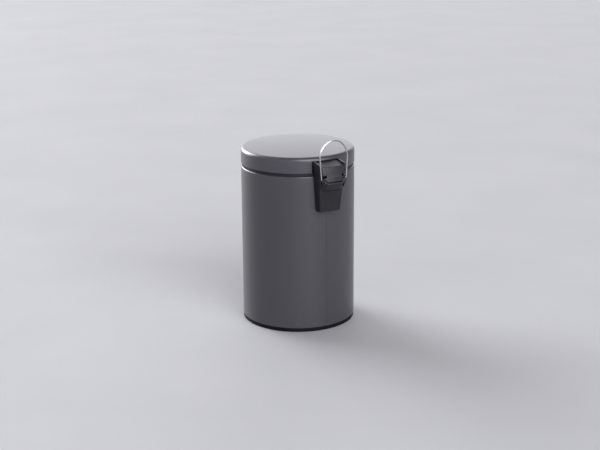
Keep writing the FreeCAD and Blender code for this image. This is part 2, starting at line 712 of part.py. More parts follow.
def pin_clip():
    outer = BRACKET_X + BRACKET_THICK
    clip = axle(PEDAL_PIN_R + 2.2, -outer - 1.2, -outer, PEDAL_PIVOT_Y, PEDAL_PIVOT_Z)
    return clip.cut(axle(PEDAL_PIN_R, -40, 0, PEDAL_PIVOT_Y, PEDAL_PIVOT_Z))


def pedal_lever():
    """Two-armed steel lever: eye for the rod, pivot barrel and a plate for the tread."""
    half = LEVER_THICK / 2
    plate_top = PEDAL_PLATE_Z + PEDAL_PLATE_THICK
    plate_mid = PEDAL_PLATE_Z + PEDAL_PLATE_THICK / 2
    bar = side_profile(
        [(ROD_Y - 5, EYE_Z - half), (PEDAL_PIVOT_Y, PEDAL_PIVOT_Z - half),
         (-112, plate_mid - half), (PEDAL_REAR, PEDAL_PLATE_Z), (PEDAL_REAR, plate_top),
         (-112, plate_mid + half), (PEDAL_PIVOT_Y, PEDAL_PIVOT_Z + half), (ROD_Y - 5, EYE_Z + half)],
        -LEVER_HALF, LEVER_HALF,
    )
    eye = axle(5.6, -EAR_HALF, EAR_HALF, ROD_Y, EYE_Z)
    neck = box(-EAR_HALF, EAR_HALF, ROD_Y - 12, ROD_Y, EYE_Z - half, EYE_Z + half)
    cutback = box(-20, 20, ROD_Y - 8, ROD_Y + 1, 0, 40)
    barrel = axle(5.5, -LEVER_HALF, LEVER_HALF, PEDAL_PIVOT_Y, PEDAL_PIVOT_Z)
    plate = plan_profile(
        [(LEVER_HALF, PEDAL_REAR + 1), (LEVER_HALF, PEDAL_REAR + 6), (-LEVER_HALF, PEDAL_REAR + 6),
         (-LEVER_HALF, PEDAL_REAR + 1), (-PEDAL_PLATE_HALF, PEDAL_REAR - 4),
         (-PEDAL_PLATE_HALF, PEDAL_FRONT + 9), (-PEDAL_PLATE_HALF + 5, PEDAL_FRONT + 4),
         (PEDAL_PLATE_HALF - 5, PEDAL_FRONT + 4), (PEDAL_PLATE_HALF, PEDAL_FRONT + 9),
         (PEDAL_PLATE_HALF, PEDAL_REAR - 4)],
        PEDAL_PLATE_Z, plate_top,
    )
    body = bar.cut(cutback).multiFuse([eye, neck, barrel, plate])
    body = body.cut(axle(ROD_R + 1.1, -10, 10, ROD_Y, EYE_Z))
    body = body.cut(axle(PEDAL_PIN_R + RUNNING_FIT, -20, 20, PEDAL_PIVOT_Y, PEDAL_PIVOT_Z))
    for x, y in tread_rivet_places():
        body = body.cut(post(RIVET_R, x, y, 20, 60))
    return body.removeSplitter()


def tread_rivet_places():
    return [(x, (PEDAL_FRONT + PEDAL_REAR) / 2) for x in (-13.0, 13.0)]


def pedal_tread():
    """Moulded foot pad that wraps the lever's front plate, ribbed on top."""
    z0 = PEDAL_PLATE_Z - 3
    z1 = PEDAL_PLATE_Z + PEDAL_PLATE_THICK + 3
    outline = [
        (-TREAD_HALF, PEDAL_REAR - 3), (-TREAD_HALF + 6, PEDAL_REAR), (TREAD_HALF - 6, PEDAL_REAR),
        (TREAD_HALF, PEDAL_REAR - 3), (TREAD_HALF, PEDAL_FRONT + 9), (TREAD_HALF - 5, PEDAL_FRONT + 3),
        (TREAD_HALF - 14, PEDAL_FRONT), (-TREAD_HALF + 14, PEDAL_FRONT), (-TREAD_HALF + 5, PEDAL_FRONT + 3),
        (-TREAD_HALF, PEDAL_FRONT + 9),
    ]
    pad = plan_profile(outline, z0, z1)
    pad = softened(pad, 1.6, lambda middle, along: abs(along.z) < 0.5)
    for step in range(4):
        y = PEDAL_REAR - 8 - step * 6
        pad = pad.cut(box(-TREAD_HALF + 8, TREAD_HALF - 8, y - 1, y + 1, z1 - 1, z1 + 1))
    return pad.cut(pedal_lever()).cut(tread_rivets())


def tread_rivets():
    z0 = PEDAL_PLATE_Z - 3
    rivets = []
    for x, y in tread_rivet_places():
        shank = post(RIVET_R, x, y, z0 - 0.4, PEDAL_PLATE_Z + PEDAL_PLATE_THICK)
        rivets.append(shank.fuse(post(3.4, x, y, z0 - 1.0, z0)))
    return Part.makeCompound(rivets)


# ---- bucket ---------------------------------------------------------------------------
BUCKET_BOTTOM = PAN_Z + PAN_THICK + 1.2    # stands on the heads of the bracket's rivets
BUCKET_BOTTOM_R = 90.0
BUCKET_TOP_R = 102.5
BUCKET_RIM_R = 105.8
LUG_ANGLES = (-50, -130)


def inner_bucket():
    inside = BUCKET_WALL
    body = turned([
        (0, BUCKET_BOTTOM + 2), (BUCKET_BOTTOM_R - 6, BUCKET_BOTTOM + 2),
        (BUCKET_BOTTOM_R - 6, BUCKET_BOTTOM), (BUCKET_BOTTOM_R - 2, BUCKET_BOTTOM),
        (BUCKET_BOTTOM_R, BUCKET_BOTTOM + 2),
        (BUCKET_TOP_R, BUCKET_TOP - inside), (BUCKET_RIM_R - inside, BUCKET_TOP - inside),
        (BUCKET_RIM_R - inside, BUCKET_TOP - 6), (BUCKET_RIM_R, BUCKET_TOP - 6), (BUCKET_RIM_R, BUCKET_TOP),
        (BUCKET_TOP_R - inside, BUCKET_TOP), (BUCKET_BOTTOM_R - inside, BUCKET_BOTTOM + 4),
        (0, BUCKET_BOTTOM + 4),
    ])
    lugs = []
    lug_top = BUCKET_HINGE_Z - HANDLE_WIRE_R - 0.3
    for angle in LUG_ANGLES:
        lug = box(92.5, 102.0, -4, 4, lug_top - 6, lug_top)
        lug.rotate(Vector(0, 0, 0), Vector(0, 0, 1), angle)
        lugs.append(lug.common(post(BUCKET_TOP_R - 1.0, 0, 0, 300, 360)))
    body = body.multiFuse(lugs)
    return body.cut(axle(HANDLE_WIRE_R + RUNNING_FIT, -112, 112, 0, BUCKET_HINGE_Z)).removeSplitter()


HANDLE_CENTRE_Y = -6.0
HANDLE_BEND = 4.0


def bucket_handle():
    z = BUCKET_HINGE_Z
    tip = BUCKET_RIM_R - BUCKET_WALL - 0.3
    near = HANDLE_BEND * (1 - math.sqrt(0.5))

    def corner(side):
        return [
            Vector(side * tip, 0, z),
            Vector(side * (HANDLE_R + HANDLE_BEND), 0, z),
            Vector(side * (HANDLE_R + near), -near, z),
            Vector(side * HANDLE_R, -HANDLE_BEND, z),
            Vector(side * HANDLE_R, HANDLE_CENTRE_Y, z),
        ]

    right = corner(1)
    left = corner(-1)
    crown = Part.Arc(right[4], Vector(0, HANDLE_CENTRE_Y - HANDLE_R, z), left[4])
    return swept([
        Part.LineSegment(right[0], right[1]).toShape(),
        Part.Arc(right[1], right[2], right[3]).toShape(),
        Part.LineSegment(right[3], right[4]).toShape(),
        crown.toShape(),
        Part.LineSegment(left[4], left[3]).toShape(),
        Part.Arc(left[3], left[2], left[1]).toShape(),
        Part.LineSegment(left[1], left[0]).toShape(),
    ], HANDLE_WIRE_R)


GRIP_R = 4.2
GRIP_SPAN = 24.0           # degrees either side of the middle of the handle


def bucket_grip():
    """Plastic sleeve round the middle of the bucket's handle."""
    tube = Part.makeTorus(HANDLE_R, GRIP_R, Vector(0, HANDLE_CENTRE_Y, BUCKET_HINGE_Z))
    core = Part.makeTorus(HANDLE_R, HANDLE_WIRE_R, Vector(0, HANDLE_CENTRE_Y, BUCKET_HINGE_Z))
    reach = 130.0
    spread = reach * math.tan(math.radians(GRIP_SPAN))
    sector = plan_profile(
        [(0, HANDLE_CENTRE_Y), (-spread, HANDLE_CENTRE_Y - reach), (spread, HANDLE_CENTRE_Y - reach)],
        BUCKET_HINGE_Z - 10, BUCKET_HINGE_Z + 10,
    )
    return tube.cut(core).common(sector)


# ---- export ---------------------------------------------------------------------------
PARTS = {
    "outer_shell": outer_shell,
    "base_ring": base_ring,
    "nonslip_ring": nonslip_ring,
    "floor_pan": floor_pan,
    "rim_collar": rim_collar,
    "hinge_housing": hinge_housing,
    "hinge_pin": hinge_pin,
    "backing_plate": backing_plate,
    "housing_screws": housing_screws,
    "rod_guides": rod_guides,
    "pivot_bracket": pivot_bracket,
    "bracket_rivets": bracket_rivets,
    "pedal_pin": pedal_pin,
    "pin_clip": pin_clip,
    "inner_bucket": inner_bucket,
    "bucket_handle": bucket_handle,
    "bucket_grip": bucket_grip,
    "lid_shell": lid_shell,
    "lid_liner": lid_liner,
    "lid_buffers": lid_buffers,
    "reinforcing_pad": reinforcing_pad,
    "lid_screws": lid_screws,
    "hinge_block": hinge_block,
    "carry_bail": carry_bail,
    "lift_rod": lift_rod,
    "rod_clips": rod_clips,
    "pedal_lever": pedal_lever,
    "pedal_tread": pedal_tread,
    "tread_rivets": tread_rivets,
}

os.makedirs("parts", exist_ok=True)
for name, make in PARTS.items():
    shape = make()
    shape.exportStep(f"parts/{name}.step")
    print(f"{name}: {len(shape.Solids)} solid, valid {shape.isValid()}, {shape.Volume / 1000:.1f} cm3")
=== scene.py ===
import json
import math

import bmesh
import bpy
from mathutils import Matrix, Vector


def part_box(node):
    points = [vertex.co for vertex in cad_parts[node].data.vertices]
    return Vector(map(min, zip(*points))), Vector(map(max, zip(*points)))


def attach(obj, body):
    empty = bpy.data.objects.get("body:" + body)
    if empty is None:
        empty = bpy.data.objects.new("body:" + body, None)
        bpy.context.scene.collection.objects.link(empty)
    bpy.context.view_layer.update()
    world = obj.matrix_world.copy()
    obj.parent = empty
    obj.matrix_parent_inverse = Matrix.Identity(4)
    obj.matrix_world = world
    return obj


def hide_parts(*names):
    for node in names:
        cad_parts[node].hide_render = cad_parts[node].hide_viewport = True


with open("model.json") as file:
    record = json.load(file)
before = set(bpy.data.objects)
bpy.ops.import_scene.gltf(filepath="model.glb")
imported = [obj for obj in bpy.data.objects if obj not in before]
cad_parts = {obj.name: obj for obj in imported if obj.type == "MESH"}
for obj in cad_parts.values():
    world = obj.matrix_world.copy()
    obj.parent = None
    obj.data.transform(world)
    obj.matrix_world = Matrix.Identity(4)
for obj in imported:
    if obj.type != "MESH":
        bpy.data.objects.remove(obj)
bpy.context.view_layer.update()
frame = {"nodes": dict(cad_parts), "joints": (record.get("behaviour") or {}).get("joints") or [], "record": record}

# A round pedal bin, dark grey powder-coated steel with black mouldings and a bright carry
# bail. Metres, +Z up. The hinge is at the back (+Y) and the pedal at the front (-Y).
MM = 0.001

SHELL_LOW, SHELL_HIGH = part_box("outer_shell")
LID_LOW, LID_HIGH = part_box("lid_shell")
BASE_LOW, BASE_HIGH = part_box("base_ring")
COLLAR_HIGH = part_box("rim_collar")[1]
RUBBER_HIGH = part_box("nonslip_ring")[1]

JOINTS = {joint["name"]: joint for joint in frame["joints"]}
SHELL_R = SHELL_HIGH.x
SHEET = 0.8 * MM           # thickness of the shell and of the lid
TURN_STEPS = 240           # flats round a turned piece
PAST = 20.0 * MM           # how far a cutter may run past what it cuts


# ---- mesh helpers ---------------------------------------------------------------------
def link(name, data):
    obj = bpy.data.objects.new(name, data)
    bpy.context.scene.collection.objects.link(obj)
    return obj


def finish_piece(obj, body, material, replaced):
    obj.data.materials.clear()
    obj.data.materials.append(material)
    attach(obj, body)
    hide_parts(*replaced)
    return obj


def smooth_by_angle(mesh, degrees):
    """Smooth shading, broken where two faces meet at more than an angle."""
    bm = bmesh.new()
    bm.from_mesh(mesh)
    limit = math.radians(degrees)
    for face in bm.faces:
        face.smooth = True
    for edge in bm.edges:
        edge.smooth = len(edge.link_faces) == 2 and edge.calc_face_angle(0) < limit
    bm.to_mesh(mesh)
    bm.free()


def apply_modifiers(obj):
    depsgraph = bpy.context.evaluated_depsgraph_get()
    depsgraph.update()
    mesh = bpy.data.meshes.new_from_object(obj.evaluated_get(depsgraph))
    obj.modifiers.clear()
    old = obj.data
    obj.data = mesh
    bpy.data.meshes.remove(old)


def rounded(corners, steps):
    """A closed outline from (a, b, radius) corners, each turned into an arc of its radius."""
    outline = []
    count = len(corners)
    for i, (a, b, radius) in enumerate(corners):
        here = Vector((a, b))
        before = Vector(corners[i - 1][:2])
        after = Vector(corners[(i + 1) % count][:2])
        if radius <= 0:
            outline.append(here)
            continue
        back = (before - here).normalized()
        ahead = (after - here).normalized()
        half = back.angle(ahead) / 2
        reach = radius / math.tan(half)
        centre = here + (back + ahead).normalized() * (radius / math.sin(half))
        start = here + back * reach - centre
        sweep = start.angle_signed(here + ahead * reach - centre)
        for step in range(steps + 1):
            turn = -sweep * step / steps
            outline.append(centre + Matrix.Rotation(turn, 2) @ start)
    return outline


def lathe(name, outline, angles=None, shift=None):
    """Closed solid of revolution about Z; shift may move a point out or in by (radius, angle)."""
    if angles is None:
        angles = [2 * math.pi * i / TURN_STEPS for i in range(TURN_STEPS)]
    bm = bmesh.new()
    columns = []
    for angle in angles:
        column = []
        for r, z in outline:
            if shift:
                r += shift(r, angle)
            column.append(bm.verts.new((r * math.cos(angle), r * math.sin(angle), z)))
        columns.append(column)
    for i, column in enumerate(columns):
        following = columns[(i + 1) % len(columns)]
        for j in range(len(outline)):
            k = (j + 1) % len(outline)
            # a point on the axis gives the same corner twice, so the quad is a triangle there
            distinct = []
            for vert in (column[j], following[j], following[k], column[k]):
                if all((vert.co - kept.co).length > 1e-9 for kept in distinct):
                    distinct.append(vert)
            if len(distinct) > 2:
                bm.faces.new(distinct)
    bmesh.ops.remove_doubles(bm, verts=bm.verts, dist=1e-7)
    bmesh.ops.recalc_face_normals(bm, faces=bm.faces)
    mesh = bpy.data.meshes.new(name)
    bm.to_mesh(mesh)
    bm.free()
    return link(name, mesh)


def rounded_box(name, low, high, radius=0.0, steps=4):
    """Box to cut with, its edges rounded if it has a radius."""
    bm = bmesh.new()
    bmesh.ops.create_cube(bm, size=1.0)
    size = Vector(high) - Vector(low)
    bmesh.ops.scale(bm, vec=size, verts=bm.verts)
    bmesh.ops.translate(bm, vec=(Vector(low) + Vector(high)) / 2, verts=bm.verts)
    if radius > 0:
        bmesh.ops.bevel(
            bm, geom=bm.edges[:], offset=radius, segments=steps, profile=0.5, affect="EDGES"
        )
    mesh = bpy.data.meshes.new(name)
    bm.to_mesh(mesh)
    bm.free()
    return link(name, mesh)


def carve(obj, cutters):
    for cutter in cutters:
        change = obj.modifiers.new("carve", "BOOLEAN")
        change.operation = "DIFFERENCE"
        change.solver = "EXACT"
        change.object = cutter
        apply_modifiers(obj)
        mesh = cutter.data
        bpy.data.objects.remove(cutter)
        bpy.data.meshes.remove(mesh)


SAME_PLANE = math.radians(1.0)     # faces closer than this in angle are joined up
SHARP_EDGE = math.radians(28.0)    # edges sharper than this are rounded off


def refined(node, width, segments, cutters):
    """A copy of a CAD node, carved, with its flat faces joined up and its edges rounded off."""
    bm = bmesh.new()
    bm.from_mesh(frame["nodes"][node].data)
    bmesh.ops.remove_doubles(bm, verts=bm.verts, dist=2e-6)
    bmesh.ops.dissolve_limit(
        bm, angle_limit=SAME_PLANE, verts=bm.verts, edges=bm.edges, delimit={"NORMAL"}
    )
    mesh = bpy.data.meshes.new(node + "_skin")
    bm.to_mesh(mesh)
    bm.free()
    obj = link(node + "_skin", mesh)
    # carved before the bevel: a boolean on the bevelled mesh can empty it
    carve(obj, cutters)
    edge = obj.modifiers.new("edge", "BEVEL")
    edge.width = width
    edge.segments = segments
    edge.limit_method = "ANGLE"
    edge.angle_limit = SHARP_EDGE
    edge.use_clamp_overlap = True
    apply_modifiers(obj)
    smooth_by_angle(obj.data, 40)
    return obj


def wire_piece(name, points, radius):
    """Round wire through Bezier points of (place, handle before, handle after)."""
    curve = bpy.data.curves.new(name, "CURVE")
    curve.dimensions = "3D"
    curve.bevel_depth = radius
    curve.bevel_resolution = 8
    curve.resolution_u = 12
    curve.use_fill_caps = True
    spline = curve.splines.new("BEZIER")
    spline.bezier_points.add(len(points) - 1)
    for knot, (place, before, after) in zip(spline.bezier_points, points):
        knot.co = place
        knot.handle_left = before
        knot.handle_right = after
    return link(name, curve)


# ---- materials ------------------------------------------------------------------------
def srgb(red, green, blue):
    """Linear colour from 8-bit sRGB levels."""
    def level(value):
        value /= 255
        return value / 12.92 if value <= 0.04045 else ((value + 0.055) / 1.055) ** 2.4
    return (level(red), level(green), level(blue), 1.0)


def shade(tone, factor):
    """A colour made lighter or darker."""
    return tuple(value * factor for value in tone[:3]) + (1.0,)


def map_range(tree, source, low, high, out_low, out_high, smooth=False):
    """Carries a value from one range to another, in a straight line or a smooth step."""
    span = tree.nodes.new("ShaderNodeMapRange")
    if smooth:
        span.interpolation_type = "SMOOTHSTEP"
    span.inputs["From Min"].default_value = low
    span.inputs["From Max"].default_value = high
    span.inputs["To Min"].default_value = out_low
    span.inputs["To Max"].default_value = out_high
    tree.links.new(source, span.inputs["Value"])
    return span.outputs["Result"]


class Finish:
    """A Principled material and the few node patterns that every finish here uses."""

    def __init__(self, name, roughness, metallic=0.0, specular=0.5):
        self.material = bpy.data.materials.new(name)
        self.material.use_nodes = True
        self.tree = self.material.node_tree
        self.shader = self.tree.nodes["Principled BSDF"]
        self.shader.inputs["Roughness"].default_value = roughness
        self.shader.inputs["Metallic"].default_value = metallic
        self.shader.inputs["Specular IOR Level"].default_value = specular
        self.place = self.tree.nodes.new("ShaderNodeTexCoord").outputs["Object"]

    def node(self, kind, **settings):
        made = self.tree.nodes.new(kind)
        for name, value in settings.items():
            setattr(made, name, value)
        return made

    def join(self, source, target):
        self.tree.links.new(source, target)

    def noise(self, scale, detail, stretch=(1, 1, 1)):
        spread = self.node("ShaderNodeMapping")
        spread.inputs["Scale"].default_value = stretch
        self.join(self.place, spread.inputs["Vector"])
        noise = self.node("ShaderNodeTexNoise")
        noise.inputs["Scale"].default_value = scale
        noise.inputs["Detail"].default_value = detail
        self.join(spread.outputs["Vector"], noise.inputs["Vector"])
        return noise.outputs["Fac"]

    def cells(self, scale):
        cells = self.node("ShaderNodeTexVoronoi")
        cells.inputs["Scale"].default_value = scale
        self.join(self.place, cells.inputs["Vector"])
        return cells.outputs["Color"]

    def spread(self, source, low, high, out_low=0.0, out_high=1.0):
        return map_range(self.tree, source, low, high, out_low, out_high)

    def blend(self, factor, first, second):
        """Mixes two colours, each a fixed one or another node's output."""
        mix = self.node("ShaderNodeMix", data_type="RGBA")
        self.join(factor, mix.inputs["Factor"])
        sockets = {socket.identifier: socket for socket in mix.inputs}
        for name, value in (("A_Color", first), ("B_Color", second)):
            if isinstance(value, tuple):
                sockets[name].default_value = value
            else:
                self.join(value, sockets[name])
        return next(socket for socket in mix.outputs if socket.identifier == "Result_Color")

    def times(self, first, second):
        product = self.node("ShaderNodeMath", operation="MULTIPLY")
        self.join(first, product.inputs[0])
        self.join(second, product.inputs[1])
        return product.outputs["Value"]

    def height(self, low, high):
        """0 at one height of the object, 1 at another."""
        split = self.node("ShaderNodeSeparateXYZ")
        self.join(self.place, split.inputs["Vector"])
        return self.spread(split.outputs["Z"], low, high)

    def bumps(self, *layers):
        """Stacks (pattern, strength, distance) layers onto the shader's normal."""
        below = None
        for pattern, strength, distance in layers:
            bump = self.node("ShaderNodeBump")
            bump.inputs["Strength"].default_value = strength
            bump.inputs["Distance"].default_value = distance
            self.join(pattern, bump.inputs["Height"])
            if below:
                self.join(below, bump.inputs["Normal"])
            below = bump.outputs["Normal"]
        self.join(below, self.shader.inputs["Normal"])

    def colour(self, output):
        self.join(output, self.shader.inputs["Base Color"])

    def gloss(self, output):
        self.join(output, self.shader.inputs["Roughness"])


def powder_coat(name, tone, roughness):
    """Satin powder coat: fine orange peel, cloudy gloss, and scuffs low on the shell."""
    coat = Finish(name, roughness, specular=0.6)
    cloud = coat.noise(9.0, detail=4.0)
    body = coat.blend(coat.spread(cloud, 0.2, 0.8), shade(tone, 0.95), tone)
    fleck = coat.spread(coat.noise(2600.0, detail=1.0), 0.6, 0.78, out_high=0.3)
    body = coat.blend(fleck, body, shade(tone, 1.5))
    low = coat.height(60 * MM, 12 * MM)
    patches = coat.noise(60.0, detail=6.0, stretch=(1, 1, 3))
    scuff = coat.spread(patches, 0.55, 0.75, out_high=0.12)
    body = coat.blend(coat.times(low, scuff), body, srgb(120, 118, 120))
    coat.colour(body)
    # kept narrow, and over 0.28: wider or lower, the denoiser leaves contour-like patches
    smear = coat.noise(14.0, detail=5.0, stretch=(1, 1, 0.4))
    coat.gloss(coat.spread(smear, 0.15, 0.85, roughness - 0.008, roughness + 0.012))
    coat.bumps(
        (coat.noise(420.0, detail=2.0), 0.035, 0.1 * MM),
        (coat.noise(1500.0, detail=2.0), 0.1, 0.04 * MM),
    )
    return coat.material


def moulded(name, tone, roughness, specular=0.45, grain=1700.0, grain_height=0.04 * MM):
    """Injection-moulded plastic with a spark-eroded grain."""
    plastic = Finish(name, roughness, specular=specular)
    cloud = plastic.spread(plastic.noise(18.0, detail=4.0), 0.3, 0.7)
    plastic.colour(plastic.blend(cloud, tone, shade(tone, 1.25)))
    smear = plastic.noise(35.0, detail=5.0)
    plastic.gloss(plastic.spread(smear, 0.3, 0.7, roughness - 0.06, roughness + 0.08))
    plastic.bumps((plastic.noise(grain, detail=2.0), 0.35, grain_height))
    return plastic.material


def chrome_wire(name):
    """Bright plated wire, with faint draw lines and finger marks."""
    plate = Finish(name, 0.18, metallic=1.0)
    marks = plate.spread(plate.noise(55.0, detail=5.0), 0.35, 0.75)
    plate.colour(plate.blend(marks, srgb(200, 200, 205), srgb(180, 180, 186)))
    plate.gloss(plate.spread(marks, 0.0, 1.0, 0.14, 0.24))
    plate.bumps((plate.noise(900.0, detail=2.0, stretch=(1, 1, 0.15)), 0.12, 0.03 * MM))
    return plate.material


def zinc_plate(name):
    """Zinc-plated steel: cloudy spangle and a slightly uneven gloss."""
    zinc = Finish(name, 0.36, metallic=1.0)
    tint = zinc.spread(zinc.cells(170.0), 0.0, 1.0)
    zinc.colour(zinc.blend(tint, srgb(168, 170, 173), srgb(198, 199, 200)))
    zinc.gloss(zinc.spread(zinc.noise(40.0, detail=5.0), 0.3, 0.7, 0.28, 0.48))
    zinc.bumps((zinc.noise(700.0, detail=3.0), 0.15, 0.04 * MM))
    return zinc.material


def rubber(name):
    """Dull black rubber with dust in its grain."""
    pad = Finish(name, 0.82, specular=0.3)
    dust = pad.spread(pad.noise(90.0, detail=6.0), 0.5, 0.8, out_high=0.35)
    pad.colour(pad.blend(dust, srgb(30, 30, 31), srgb(66, 65, 64)))
    pad.gloss(pad.spread(pad.noise(60.0, detail=4.0), 0.3, 0.7, 0.72, 0.92))
    pad.bumps((pad.noise(1200.0, detail=3.0), 0.4, 0.06 * MM))
    return pad.material


def polypropylene(name):
    """The bucket's grey polypropylene, with wiping scratches and a slight sheen."""
    bucket = Finish(name, 0.42)
    cloud = bucket.spread(bucket.noise(12.0, detail=4.0), 0.3, 0.7)
    body = bucket.blend(cloud, srgb(86, 87, 90), srgb(98, 99, 102))
    streaks = bucket.noise(120.0, detail=6.0, stretch=(1, 1, 0.12))
    scratch = bucket.spread(streaks, 0.6, 0.72, out_high=0.4)
    bucket.colour(bucket.blend(scratch, body, srgb(130, 131, 134)))
    bucket.gloss(bucket.spread(scratch, 0.0, 0.4, 0.38, 0.6))
    bucket.bumps((bucket.noise(500.0, detail=3.0, stretch=(1, 1, 0.3)), 0.2, 0.06 * MM))
    return bucket.material


SHELL_PAINT = powder_coat("shell_powder_coat", srgb(55, 54, 59), 0.305)
LID_PAINT = powder_coat("lid_powder_coat", srgb(60, 59, 65), 0.33)
BLACK_PLASTIC = moulded("black_moulding", srgb(22, 21, 27), 0.52, specular=0.28)
BASE_PLASTIC = moulded("base_moulding", srgb(11, 10, 15), 0.6, specular=0.12)
HINGE_PLASTIC = moulded("hinge_moulding", srgb(20, 19, 25), 0.42)
TREAD_PLASTIC = moulded(
    "tread_moulding", srgb(36, 36, 38), 0.56, grain=1200.0, grain_height=0.07 * MM
)
GRIP_PLASTIC = moulded("grip_moulding", srgb(34, 34, 36), 0.48)
BAIL_CHROME = chrome_wire("bail_chrome")
ZINC = zinc_plate("zinc_plate")
RUBBER = rubber("black_rubber")
BUCKET_PLASTIC = polypropylene("bucket_polypropylene")

SLOT_FINISH = {
    "zinc_steel": ZINC,
    "rubber": RUBBER,
    "black_plastic": BLACK_PLASTIC,
    "hinge_plastic": HINGE_PLASTIC,
    "bail_chrome": BAIL_CHROME,
    "bucket_plastic": BUCKET_PLASTIC,
    "grip_plastic": GRIP_PLASTIC,
    "tread_plastic": TREAD_PLASTIC,
    "shell_paint": SHELL_PAINT,
    "lid_paint": LID_PAINT,
}


def dress_cad_nodes():
    """Every CAD node gets the finish of its slot, whether or not a piece replaces it."""
    for entry in frame["record"]["subparts"]:
        obj = frame["nodes"][entry["node"]]
        obj.data.materials.clear()
        obj.data.materials.append(SLOT_FINISH[entry["material_slot"]])
        obj.data.polygons.foreach_set("use_smooth", [True] * len(obj.data.polygons))
        split = obj.modifiers.new("crisp", "EDGE_SPLIT")
        split.split_angle = math.radians(35)


# ---- shell ----------------------------------------------------------------------------
SHELL_ROLL = 3.0 * MM      # radius of the rolled rim
SHELL_RINGS = 12
ROLL_STEPS = 8

SEAM_ANGLE = math.pi / 2   # at the back, in the middle
SEAM_HALF = 1.4 * MM
SEAM_DEPTH = 0.65 * MM
SEAM_DRAWN_HALF = 2.2 * MM         # the sheet is drawn in a little as far as this
SEAM_DRAWN = 0.12 * MM
SEAM_STEPS = (1.3, 1.6, 1.9, 2.6, 3.6)    # close steps to each side of the seam, in mm
SEAM_CLEAR = 4.0 * MM              # no even steps nearer to it than this

PEDAL_SLOT_HALF = 17.0 * MM
PEDAL_SLOT_DEEP = 9.0 * MM
PEDAL_SLOT_Z = (14.0 * MM, 46.0 * MM)
PEDAL_SLOT_CORNER = 5.0 * MM


def seam_angles():
    """Even steps round the shell, with close ones at the seam."""
    even = [2 * math.pi * i / TURN_STEPS for i in range(TURN_STEPS)]
    kept = [angle for angle in even if abs(angle - SEAM_ANGLE) > SEAM_CLEAR / SHELL_R]
    close = [side * step * MM / SHELL_R for side in (-1, 1) for step in SEAM_STEPS]
    return sorted(kept + [SEAM_ANGLE + angle for angle in close])


def seam_shift(r, angle):
    """The seam: a shallow groove, with the sheet drawn in a little beside it."""
    outside = r >= SHELL_R - 0.5 * MM
    across = abs(angle - SEAM_ANGLE) * SHELL_R
    if outside and across < SEAM_HALF:
        return -SEAM_DEPTH
    if outside and across < SEAM_DRAWN_HALF:
        return -SEAM_DRAWN
    return 0.0


def roll_point(radius, step):
    """A point of the rolled rim, from level with its middle up to its top."""
    turn = math.pi / 2 * step / ROLL_STEPS
    return Vector((
        SHELL_R - SHELL_ROLL + radius * math.cos(turn),
        SHELL_HIGH.z - SHELL_ROLL + radius * math.sin(turn),
    ))


def make_shell():
    z0 = SHELL_LOW.z
    rise = SHELL_HIGH.z - SHELL_ROLL - z0
    heights = [z0 + rise * step / SHELL_RINGS for step in range(SHELL_RINGS + 1)]
    outline = [Vector((SHELL_R - SHEET, z)) for z in reversed(heights)]
    outline += [Vector((SHELL_R, z)) for z in heights]
    outline += [roll_point(SHELL_ROLL, step) for step in range(1, ROLL_STEPS + 1)]
    outline += [roll_point(SHELL_ROLL - SHEET, step) for step in range(ROLL_STEPS, 0, -1)]
    shell = lathe("shell_skin", outline, seam_angles(), seam_shift)
    slot = rounded_box(
        "slot_cutter",
        (-PEDAL_SLOT_HALF, -SHELL_R - PEDAL_SLOT_DEEP, PEDAL_SLOT_Z[0]),
        (PEDAL_SLOT_HALF, -SHELL_R + PEDAL_SLOT_DEEP, PEDAL_SLOT_Z[1]),
        PEDAL_SLOT_CORNER, 6,
    )
    carve(shell, [slot])
    smooth_by_angle(shell.data, 30)
    return finish_piece(shell, "bin", SHELL_PAINT, ["outer_shell"])


# ---- lid ------------------------------------------------------------------------------
LID_SHOULDER = 8.0 * MM
LID_DOME = 3.3 * MM
LID_SKIRT_TOP = LID_HIGH.z - LID_DOME - LID_SHOULDER
SKIRT_STEPS = 3
SHOULDER_STEPS = 10
DOME_STEPS = 14

HINGE_NOTCH_HALF = 31.8 * MM       # cut out of the skirt for the hinge block
HINGE_NOTCH_Y = (90.0 * MM, 140.0 * MM)
HINGE_NOTCH_CORNER = 1.5 * MM


def lid_surface(inset):
    """Points of the lid's section from the skirt's foot to the crown, drawn in by an inset."""
    r = SHELL_R - inset
    fillet = LID_SHOULDER - inset
    edge_r = SHELL_R - LID_SHOULDER
    dome_r = (edge_r ** 2 + LID_DOME ** 2) / (2 * LID_DOME)
    rise = LID_SKIRT_TOP - LID_LOW.z
    points = [
        Vector((r, LID_LOW.z + rise * step / SKIRT_STEPS)) for step in range(SKIRT_STEPS + 1)
    ]
    for step in range(1, SHOULDER_STEPS + 1):
        turn = math.pi / 2 * step / SHOULDER_STEPS
        points.append(Vector((
            edge_r + fillet * math.cos(turn), LID_SKIRT_TOP + fillet * math.sin(turn)
        )))
    for step in range(1, DOME_STEPS + 1):
        radius = edge_r * (1 - step / DOME_STEPS)
        sag = dome_r - math.sqrt(dome_r ** 2 - radius ** 2)
        points.append(Vector((radius, LID_HIGH.z - inset - sag)))
    return points


def make_lid():
    outside = lid_surface(0.0)
    inside = lid_surface(SHEET)
    lid = lathe("lid_skin", outside + inside[::-1])
    notch = rounded_box(
        "notch_cutter",
        (-HINGE_NOTCH_HALF, HINGE_NOTCH_Y[0], LID_LOW.z - PAST),
        (HINGE_NOTCH_HALF, HINGE_NOTCH_Y[1], LID_SKIRT_TOP),
        HINGE_NOTCH_CORNER, 3,
    )
    carve(lid, [notch])
    smooth_by_angle(lid.data, 30)
    return finish_piece(lid, "lid", LID_PAINT, ["lid_shell"])


